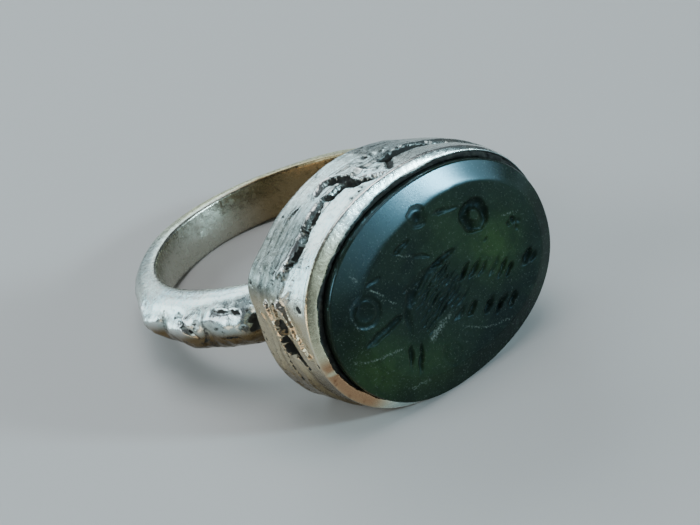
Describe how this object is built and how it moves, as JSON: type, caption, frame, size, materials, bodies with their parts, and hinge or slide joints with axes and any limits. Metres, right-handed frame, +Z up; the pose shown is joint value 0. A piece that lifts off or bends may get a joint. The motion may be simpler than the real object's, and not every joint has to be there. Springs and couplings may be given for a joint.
{
  "type": "finger ring",
  "caption": "Ancient silver finger ring with a deep oval bezel, worn shoulders and an engraved dark green seal stone, lying loose on its side.",
  "frame": {"origin": "on the surface that the ring lies on, under the middle of its box", "axes": "+Z up, +X from the back of the hoop to the stone, +Y along the stone's long axis"},
  "size_m": [0.0294, 0.0232, 0.0149],
  "materials": {
    "silver": "worn, corroded ancient silver",
    "seal_stone": "polished translucent chalcedony, engraved"
  },
  "bodies": {
    "root": {"silver_body": "silver", "seal_stone": "seal_stone"}
  },
  "joints": []
}
